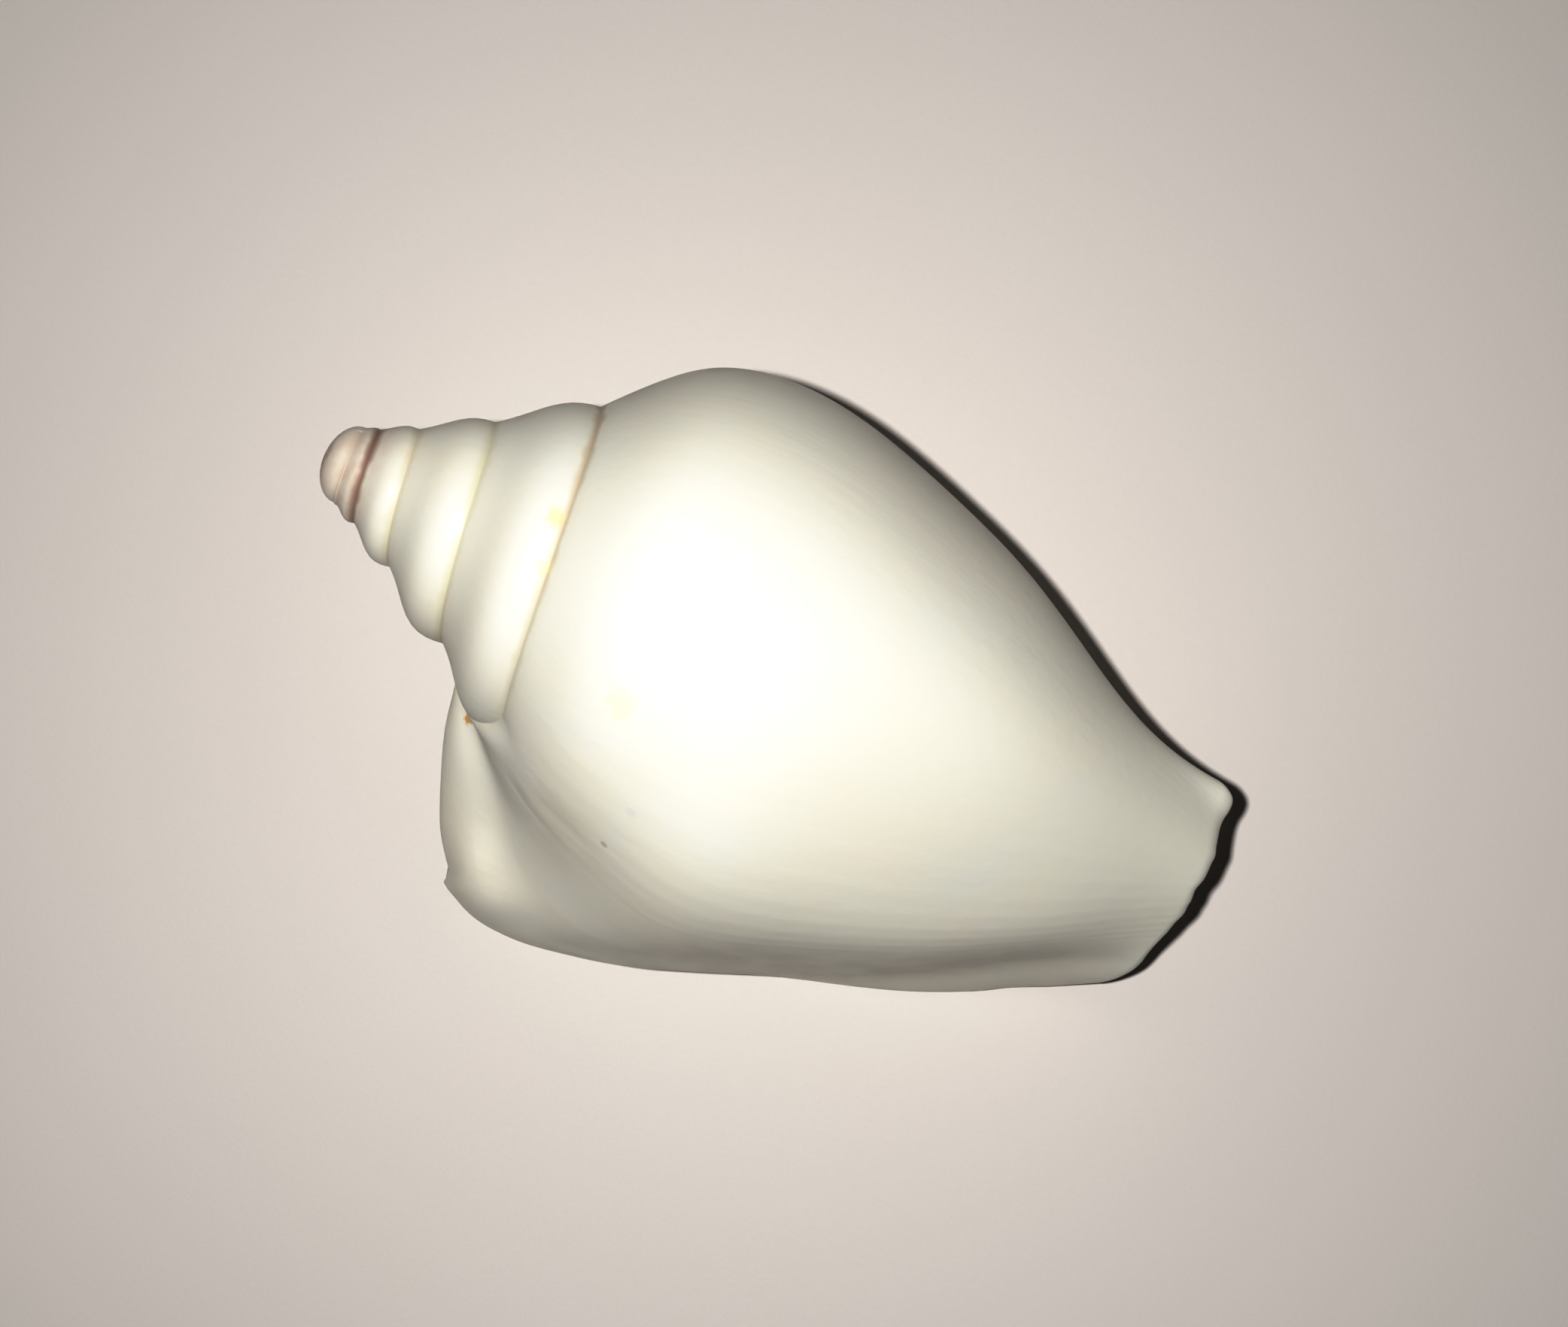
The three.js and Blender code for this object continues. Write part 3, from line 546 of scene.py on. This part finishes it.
def cavity():
    """The space inside, carried on down out of the aperture."""
    sheet = Sheet()
    turns = np.append(growth_steps(), LIP_TURN)
    turns = turns[turns > CAVITY_START]

    def under(row):
        taper = CAVITY_TAPER * ramp(row, CAVITY_LAST_ROW - CAVITY_TAPER_ROWS, CAVITY_LAST_ROW)
        return point_under(column, row, inside_depth(column, row) + taper * behind_lip(column))

    def in_the_corner(row):
        point = under(row)
        return np.hypot(point[..., 1], point[..., 2]) < inner_radius(column, point[..., 0]) + CORNER_GAP

    column = turns
    furthest = np.full(turns.shape, NEXT_SUTURE_ROW + 2.0)
    high = bisect(in_the_corner, np.zeros(turns.shape), furthest, CORNER_HALVINGS)
    column = turns[:, None]
    part = np.linspace(0, 1, CAVITY_ROWS + 1)
    outer = under(mix(high[:, None], CAVITY_LAST_ROW, part))
    station = mix(outer[:, :1, 0], outer[:, -1:, 0] - CAVITY_END_LEAN, part)
    inner = around_axis(column, station, inner_radius(column, station))
    loops = np.concatenate([outer, inner[:, ::-1]], 1)
    loops = np.concatenate([loops, loops[-1:] - [0, 0, MOUTH_DROP]])
    numbers = sheet.add(loops)
    following = np.roll(numbers, -1, axis=1)
    sheet.quads(numbers[:-1], numbers[1:], following[1:], following[:-1])
    # Each end closes between the loop's two halves, which lie side by side
    count = CAVITY_ROWS
    first, last = numbers[0], numbers[-1]
    sheet.quads(first[:count], first[1:count + 1], first[::-1][1:count + 1], first[::-1][:count])
    sheet.quads(last[::-1][:count], last[::-1][1:count + 1], last[1:count + 1], last[:count])
    return sheet


def pillar_edge(station):
    """The edge of the pillar beside the canal, where the whorl's own front end winds down to the tip."""
    start, end = np.full(station.shape, LIP_TURN - 1), np.full(station.shape, OUTLINE_TURN)
    turn = bisect(lambda t: outline(t, float(LAST_ROW))[..., 0] < station, start, end)
    radius = outline(turn, row_at(turn, station))[..., 1] + GLAZE + 2 * GLAZE_EDGE
    return around_axis(turn, station, radius)


def canal():
    """The space of the canal: under the whorl's roof to the lip, down, and up beside the pillar."""
    sheet = Sheet()
    step_count = int((CANAL_END - CANAL_START) / CANAL_STEP)
    stations = np.interp(np.linspace(0, 1, step_count), [0, 1], [CANAL_START, CANAL_END])
    turns = mix(*CANAL_TURNS, np.linspace(0, 1, CANAL_COLUMNS + 1))
    rim_turns = [LIP_TURN - step * RIM_TURNS for step in RIM_STEPS] + [LIP_TURN]
    turns = np.sort(np.append(turns[:-1], rim_turns))
    column, along = np.broadcast_arrays(turns[None, :], stations[:, None])
    taper = CANAL_TAPER * (1 - ramp(along, CANAL_START, CANAL_TAPER_END))
    row = row_at(column, along)
    roof = point_under(column, row, inside_depth(column, row) + taper * behind_lip(column))
    edge = pillar_edge(stations)
    bottom = edge[:, 2] - CANAL_DROP
    under_lip = np.stack([roof[:, -1, 0], roof[:, -1, 1], bottom], -1)
    under_pillar = np.stack([edge[:, 0], edge[:, 1] - CANAL_FLARE, bottom], -1)
    share = ((stations - CANAL_BULGE_FROM[0]) / (CANAL_BULGE_TO[0] - CANAL_BULGE_FROM[0]))[:, None]
    bulge = mix(np.array(CANAL_BULGE_FROM, float), np.array(CANAL_BULGE_TO, float), share)
    bulge = np.stack([stations, -bulge[:, 1], bulge[:, 2]], -1)
    t = np.linspace(0, 1, CANAL_SIDE_POINTS + 1)[None, :-1, None]
    side = (1 - t)**2 * edge[:, None] + 2 * t * (1 - t) * bulge[:, None] + t**2 * roof[:, :1]
    loops = np.concatenate([roof, under_lip[:, None], under_pillar[:, None], side], 1)
    loops = np.concatenate([loops, loops[-1:] + [CANAL_REACH, 0, 0]])

    def cap(loop, turned):
        middle = sheet.add([np.concatenate(sheet.points)[loop].mean(0)])
        following = np.roll(loop, -1)
        sheet.triangles(*(following, loop) if turned else (loop, following), middle)

    numbers = sheet.add(loops)
    following = np.roll(numbers, -1, axis=1)
    sheet.quads(numbers[:-1], following[:-1], following[1:], numbers[1:])
    cap(numbers[0], True)
    cap(numbers[-1], False)
    return sheet


def lay_down(points):
    """From the shell's own axes to the way it lies, in metres."""
    x, y, z = points[..., 0], points[..., 1], points[..., 2]
    turned = np.stack([
        x * math.cos(REST_PITCH) + z * math.sin(REST_PITCH), y,
        z * math.cos(REST_PITCH) - x * math.sin(REST_PITCH),
    ], -1)
    return (turned + REST_SHIFT) / 1000


def subtract(target, cutter):
    """Cuts one object's solid out of another's."""
    modifier = target.modifiers.new("cut", "BOOLEAN")
    modifier.operation = "DIFFERENCE"
    modifier.solver = "MANIFOLD"
    modifier.object = cutter
    bpy.context.view_layer.update()
    evaluated = target.evaluated_get(bpy.context.evaluated_depsgraph_get())
    mesh = bpy.data.meshes.new_from_object(evaluated)
    target.modifiers.clear()
    target.data = mesh


def suture_marks(points):
    """Each point's distance from the nearest suture line, and the turn at which that was laid down."""
    radius = np.hypot(points[:, 1], points[:, 2])
    part_turn = np.arctan2(-points[:, 2], -points[:, 1]) / (2 * np.pi)
    nearest = np.full(len(points), np.inf)
    laid = np.zeros(len(points))
    for whole in range(math.floor(FIRST_SUTURE), 1):
        turn = part_turn + whole
        place = np.stack([suture_station(turn), suture_radius(turn)], -1)
        late = turn > CLIMB_START
        place[late] = outline(turn[late] - 1, suture_row(turn[late]))
        distance = np.hypot(points[:, 0] - place[:, 0], radius - place[:, 1])
        closer = (distance < nearest) & (turn >= FIRST_SUTURE) & (turn <= LIP_TURN)
        nearest, laid = np.where(closer, distance, nearest), np.where(closer, turn, laid)
    return nearest, laid


def keep(mesh, name, values):
    """Keeps a value for each point of the mesh, for the materials."""
    mesh.attributes.new(name, "FLOAT", "POINT").data.foreach_set("value", values)


def make_shell():
    whole = bpy.data.objects.new("shell_surface", filled_shell().mesh("shell_surface"))
    bpy.context.scene.collection.objects.link(whole)
    for space in (cavity(), canal()):
        cutter = bpy.data.objects.new("space", space.mesh("space"))
        bpy.context.scene.collection.objects.link(cutter)
        subtract(whole, cutter)
        bpy.data.objects.remove(cutter)
    mesh = whole.data
    points = np.empty(len(mesh.vertices) * 3)
    mesh.vertices.foreach_get("co", points)
    points = points.reshape(-1, 3)
    distance, laid = suture_marks(points)
    groove = GROOVE_DEPTH * np.exp(-(distance / GROOVE_WIDTH)**2) * (1 - ramp(laid, *GROOVE_END[::-1]))
    radius = np.maximum(np.hypot(points[:, 1], points[:, 2]), GROOVE_DEPTH)
    points[:, 1:] *= (1 - groove / radius)[:, None]
    keep(mesh, "suture_distance", distance)
    keep(mesh, "suture_turn", laid)
    keep(mesh, "station", points[:, 0])
    mesh.vertices.foreach_set("co", lay_down(points).ravel())
    mesh.polygons.foreach_set("use_smooth", [True] * len(mesh.polygons))
    mesh.update()
    return whole


shell = make_shell()


class Surface:
    """A material's nodes, with short names for the ones that are used most."""

    def __init__(self, name, roughness):
        self.material = bpy.data.materials.new(name)
        self.material.use_nodes = True
        self.tree = self.material.node_tree
        self.shader = self.tree.nodes["Principled BSDF"]
        self.shader.inputs["Roughness"].default_value = roughness

    def node(self, kind, inputs, **settings):
        node = self.tree.nodes.new(kind)
        for name, value in settings.items():
            setattr(node, name, value)
        for key, value in inputs.items():
            if isinstance(value, bpy.types.NodeSocket):
                self.tree.links.new(value, node.inputs[key])
            else:
                node.inputs[key].default_value = value
        return node

    def place(self, scale=(1000, 1000, 1000), shift=(0, 0, 0)):
        """The place on the object, in millimetres unless it is scaled otherwise."""
        coordinates = self.node("ShaderNodeTexCoord", {})
        mapping = self.node("ShaderNodeMapping", {
            "Vector": coordinates.outputs["Object"], "Scale": scale, "Location": shift,
        })
        return mapping.outputs["Vector"]

    def noise(self, vector, scale, detail=3.0, roughness=0.5):
        return self.node("ShaderNodeTexNoise", {
            "Vector": vector, "Scale": scale, "Detail": detail, "Roughness": roughness,
        }).outputs["Fac"]

    def kept(self, name):
        return self.node("ShaderNodeAttribute", {}, attribute_name=name).outputs["Fac"]

    def math(self, operation, first, second=0.0):
        return self.node("ShaderNodeMath", {0: first, 1: second}, operation=operation).outputs["Value"]

    def spread(self, value, low, high, to_low=0.0, to_high=1.0):
        """A smooth change from one value to another as an input goes from low to high."""
        return self.node("ShaderNodeMapRange", {
            "Value": value, "From Min": low, "From Max": high, "To Min": to_low, "To Max": to_high,
        }, interpolation_type="SMOOTHSTEP").outputs["Result"]

    def blend(self, share, under, over, how="MIX"):
        node = self.node("ShaderNodeMix", {0: share}, data_type="RGBA", blend_type=how)
        for key, value in ((6, under), (7, over)):
            if isinstance(value, bpy.types.NodeSocket):
                self.tree.links.new(value, node.inputs[key])
            else:
                node.inputs[key].default_value = (*value, 1)
        return node.outputs[2]

    def tones(self, value, stops):
        """A colour that runs through the given stops."""
        node = self.node("ShaderNodeValToRGB", {"Fac": value})
        ramp_stops = node.color_ramp.elements
        while len(ramp_stops) < len(stops):
            ramp_stops.new(0.5)
        for stop, (position, color) in zip(ramp_stops, stops):
            stop.position = position
            stop.color = (*color, 1)
        return node.outputs["Color"]

    def raised(self, height, distance, strength=1.0, after=None):
        inputs = {"Height": height, "Distance": distance, "Strength": strength}
        if after is not None:
            inputs["Normal"] = after
        return self.node("ShaderNodeBump", inputs).outputs["Normal"]

    def finish(self, color, normal, roughness=None):
        self.tree.links.new(color, self.shader.inputs["Base Color"])
        self.tree.links.new(normal, self.shader.inputs["Normal"])
        if roughness is not None:
            self.tree.links.new(roughness, self.shader.inputs["Roughness"])
        return self.material


# Colours of the shell, as linear values
CREAM = (0.85, 0.83, 0.745)
WARM_CREAM = (0.86, 0.825, 0.725)
COOL_CREAM = (0.835, 0.83, 0.765)
APEX_PINK = (0.76, 0.65, 0.57)
APEX_BROWN = (0.36, 0.24, 0.12)

# What colour the suture line is, from the first whorl (0) to the last (1), and how strong
SUTURE_TONES = [
    (0.00, (0.60, 0.46, 0.36)), (0.10, (0.62, 0.50, 0.40)), (0.22, (0.27, 0.14, 0.10)),
    (0.31, (0.33, 0.20, 0.15)), (0.42, (0.66, 0.58, 0.44)), (0.55, (0.70, 0.64, 0.48)),
    (0.72, (0.66, 0.64, 0.46)), (0.86, (0.46, 0.34, 0.25)), (0.91, (0.60, 0.49, 0.35)),
    (0.95, (0.60, 0.55, 0.43)),
]
SUTURE_STRENGTH = [
    (0.00, 0.35), (0.10, 0.30), (0.22, 0.85), (0.31, 0.80), (0.40, 0.45), (0.75, 0.50), (0.86, 0.75),
    (0.93, 0.60), (0.955, 0.45), (0.975, 0.0),
]

# How wide the suture line is, in millimetres, and the faint halo round it
SUTURE_WIDTHS = [0.42, 0.66]
HALO_REACH = [1.3, 0.1]
HALO_STRENGTH = 0.10
HALO = (0.70, 0.62, 0.42)

# Gloss of the outside, and how light spreads under it
ROUGHNESS = [0.36, 0.48]
SPECULAR_LEVEL = 0.15
UNDER_SKIN_WEIGHT = 0.15
UNDER_SKIN_RADIUS = (1.0, 0.8, 0.6)
UNDER_SKIN_SCALE = 0.0008

# Colours of the floor's paper, and of its fibres
PAPER = (0.78, 0.73, 0.69)
PALE_PAPER = (0.81, 0.77, 0.735)
PAPER_FIBRE = (0.74, 0.70, 0.66)

# Stains, and one spot of painted shadow: station, side towards the lip, rise, radius, colour, strength
STAINS_AND_SHADOW_SPOT = [
    [14.75, 12.0, -2.45, 0.55, (0.66, 0.40, 0.10), 0.9],
    [15.3, 12.1, -1.7, 0.50, (0.45, 0.25, 0.06), 0.9],
    [25.7, 14.9, 7.9, 0.30, (0.50, 0.48, 0.42), 0.6],
    [26.3, 12.2, 11.1, 0.50, (0.74, 0.70, 0.76), 0.35],
    [23.1, 6.4, 13.9, 1.3, (0.88, 0.80, 0.56), 0.45],
    [15.0, -2.1, 10.4, 0.8, (0.86, 0.70, 0.34), 0.5],
    [15.6, 0.9, 10.9, 0.7, (0.86, 0.72, 0.40), 0.4],
    # A near-black spot in a suture notch on the spire's top edge: painted shadow, not a stain
    [12.0, -10.4, 3.4, 0.35, (0.05, 0.04, 0.04), 0.9],
    [44.0, -6.0, 9.0, 1.6, (0.80, 0.80, 0.74), 0.4],
]


def to_place(station, side, rise):
    """A point given about the shell's axis, as it lies, in millimetres."""
    return lay_down(np.array([station, -side, rise], float)) * 1000


def shell_color(surface, place):
    """Cream with soft clouds, a tinted apex, thin brown sutures, a few stains and one painted shadow spot.
    """
    clouds = surface.noise(place, 0.09, 4.0)
    color = surface.blend(surface.spread(clouds, 0.40, 0.72), CREAM, WARM_CREAM)
    cool = surface.noise(surface.place(shift=(31, 7, 0)), 0.14, 3.0)
    color = surface.blend(surface.spread(cool, 0.5, 0.75, 0, 0.8), color, COOL_CREAM)

    station = surface.kept("station")
    fleck = surface.noise(place, 1.1, 3.0)
    pink_fleck = surface.spread(fleck, 0.3, 0.7, 0.35, 0.8)
    pink = surface.math("MULTIPLY", surface.spread(station, 5.0, 2.0), pink_fleck)
    color = surface.blend(pink, color, APEX_PINK)
    brown_fleck = surface.spread(fleck, 0.35, 0.6, 0.5, 1)
    brown = surface.math("MULTIPLY", surface.spread(station, 0.35, -0.3), brown_fleck)
    color = surface.blend(brown, color, APEX_BROWN)

    age = surface.node("ShaderNodeMapRange", {
        "Value": surface.kept("suture_turn"), "From Min": FIRST_SUTURE, "From Max": LIP_TURN,
    }).outputs["Result"]
    wander = surface.noise(place, 0.5, 2.0)
    width = surface.spread(wander, 0.35, 0.65, *SUTURE_WIDTHS)
    near = surface.math("DIVIDE", surface.kept("suture_distance"), width)
    strength = surface.tones(age, [(at, (value,) * 3) for at, value in SUTURE_STRENGTH])
    line = surface.math("MULTIPLY", surface.spread(near, 1.0, 0.0), strength)
    color = surface.blend(line, color, surface.tones(age, SUTURE_TONES))
    halo = surface.spread(surface.kept("suture_distance"), *HALO_REACH, 0, HALO_STRENGTH)
    color = surface.blend(halo, color, HALO, "MULTIPLY")

    uneven = surface.spread(surface.noise(place, 2.4, 4.0), 0.25, 0.6, 0.45, 1.25)
    for stain_and_shadow_station, side, rise, size, stain_and_shadow_color, share in STAINS_AND_SHADOW_SPOT:
        away = surface.node("ShaderNodeVectorMath", {
            0: place, 1: tuple(to_place(stain_and_shadow_station, side, rise)),
        }, operation="DISTANCE").outputs["Value"]
        spot = surface.spread(surface.math("DIVIDE", away, uneven), size, size * 0.35, 0, share)
        color = surface.blend(spot, color, stain_and_shadow_color)
    return color


def porcelain():
    """The smooth outside: cream, faintly clouded, with a soft gloss and very fine growth lines."""
    surface = Surface("porcelain", ROUGHNESS[0])
    place = surface.place()
    color = shell_color(surface, place)
    along = surface.place(scale=(90, 1500, 1500))
    lines = surface.noise(along, 0.9, 4.0)
    grain = surface.noise(place, 7.0, 4.0, 0.6)
    normal = surface.raised(lines, 0.00004, 0.5)
    normal = surface.raised(grain, 0.00001, 0.4, normal)
    roughness = surface.spread(surface.noise(place, 0.5, 3.0), 0.3, 0.7, *ROUGHNESS)
    surface.shader.inputs["Specular IOR Level"].default_value = SPECULAR_LEVEL
    surface.shader.inputs["Subsurface Weight"].default_value = UNDER_SKIN_WEIGHT
    surface.shader.inputs["Subsurface Radius"].default_value = UNDER_SKIN_RADIUS
    surface.shader.inputs["Subsurface Scale"].default_value = UNDER_SKIN_SCALE
    return surface.finish(color, normal, roughness)


def paper():
    """The floor: matt paper with a faint tooth."""
    surface = Surface("paper", 0.8)
    place = surface.place()
    color = surface.blend(surface.noise(place, 0.02, 3.0), PAPER, PALE_PAPER)
    fibre = surface.noise(place, 3.0, 5.0, 0.6)
    color = surface.blend(surface.spread(fibre, 0.35, 0.7, 0, 0.12), color, PAPER_FIBRE)
    return surface.finish(color, surface.raised(fibre, 0.00004, 0.3))


shell.data.materials.clear()
shell.data.materials.append(porcelain())
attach(shell, "root")
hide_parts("shell")

floor_mesh = bpy.data.meshes.new("floor")
FLOOR_HALF = 1.5
floor_corners = [(x * FLOOR_HALF, y * FLOOR_HALF, 0) for x, y in [(-1, -1), (1, -1), (1, 1), (-1, 1)]]
floor_mesh.from_pydata(floor_corners, [], [(0, 1, 2, 3)])
floor = bpy.data.objects.new("floor", floor_mesh)
bpy.context.scene.collection.objects.link(floor)
floor_mesh.materials.append(paper())

# The camera looks straight down, as in the photograph, with the shell's axis at a slant in the picture
PICTURE_TURN = math.radians(24.06)
CAMERA_LENS = 55.59
LAMP_LEFT = 0.014
LAMP_UP = 0.003
LAMP_SIZE = 0.006
LAMP_POWER = 0.285
ROOM_LIGHT = 0.006
ROOM_COLOR = (1, 0.97, 0.93, 1)
CONTRAST = [(0.2, 0.09), (0.37, 0.215), (0.53, 0.385), (0.66, 0.56), (0.87, 0.87)]
CAMERA_PLACE = REST_SHIFT + [31.789, -0.262, 154.08]
camera_data = bpy.data.cameras.new("camera")
camera_data.lens = CAMERA_LENS
camera_data.sensor_width = 36
camera_data.clip_start = 0.01
camera = bpy.data.objects.new("camera", camera_data)
camera.location = Vector(CAMERA_PLACE / 1000)
camera.rotation_euler = (0, 0, PICTURE_TURN)
bpy.context.scene.collection.objects.link(camera)
bpy.context.scene.camera = camera

lamp_data = bpy.data.lights.new("key", "AREA")
lamp_data.shape = "DISK"
lamp_data.size = LAMP_SIZE
lamp_data.energy = LAMP_POWER
lamp = bpy.data.objects.new("key", lamp_data)
# The lamp sits just left of the camera and a little above it in the picture
right = Vector((math.cos(PICTURE_TURN), math.sin(PICTURE_TURN), 0))
up = Vector((-math.sin(PICTURE_TURN), math.cos(PICTURE_TURN), 0))
lamp.location = camera.location - right * LAMP_LEFT + up * LAMP_UP
aim = Vector((0, 0, 0.01)) + right * 0.02 - up * 0.01 - lamp.location
lamp.rotation_euler = aim.to_track_quat("-Z", "Y").to_euler()
bpy.context.scene.collection.objects.link(lamp)

world = bpy.data.worlds.new("world")
world.use_nodes = True
world.node_tree.nodes["Background"].inputs["Color"].default_value = ROOM_COLOR
world.node_tree.nodes["Background"].inputs["Strength"].default_value = ROOM_LIGHT
bpy.context.scene.world = world
view = bpy.context.scene.view_settings
view.view_transform = "Standard"
view.use_curve_mapping = True
contrast = view.curve_mapping.curves[3]
for light, shown in CONTRAST:
    contrast.points.new(light, shown)
view.curve_mapping.update()
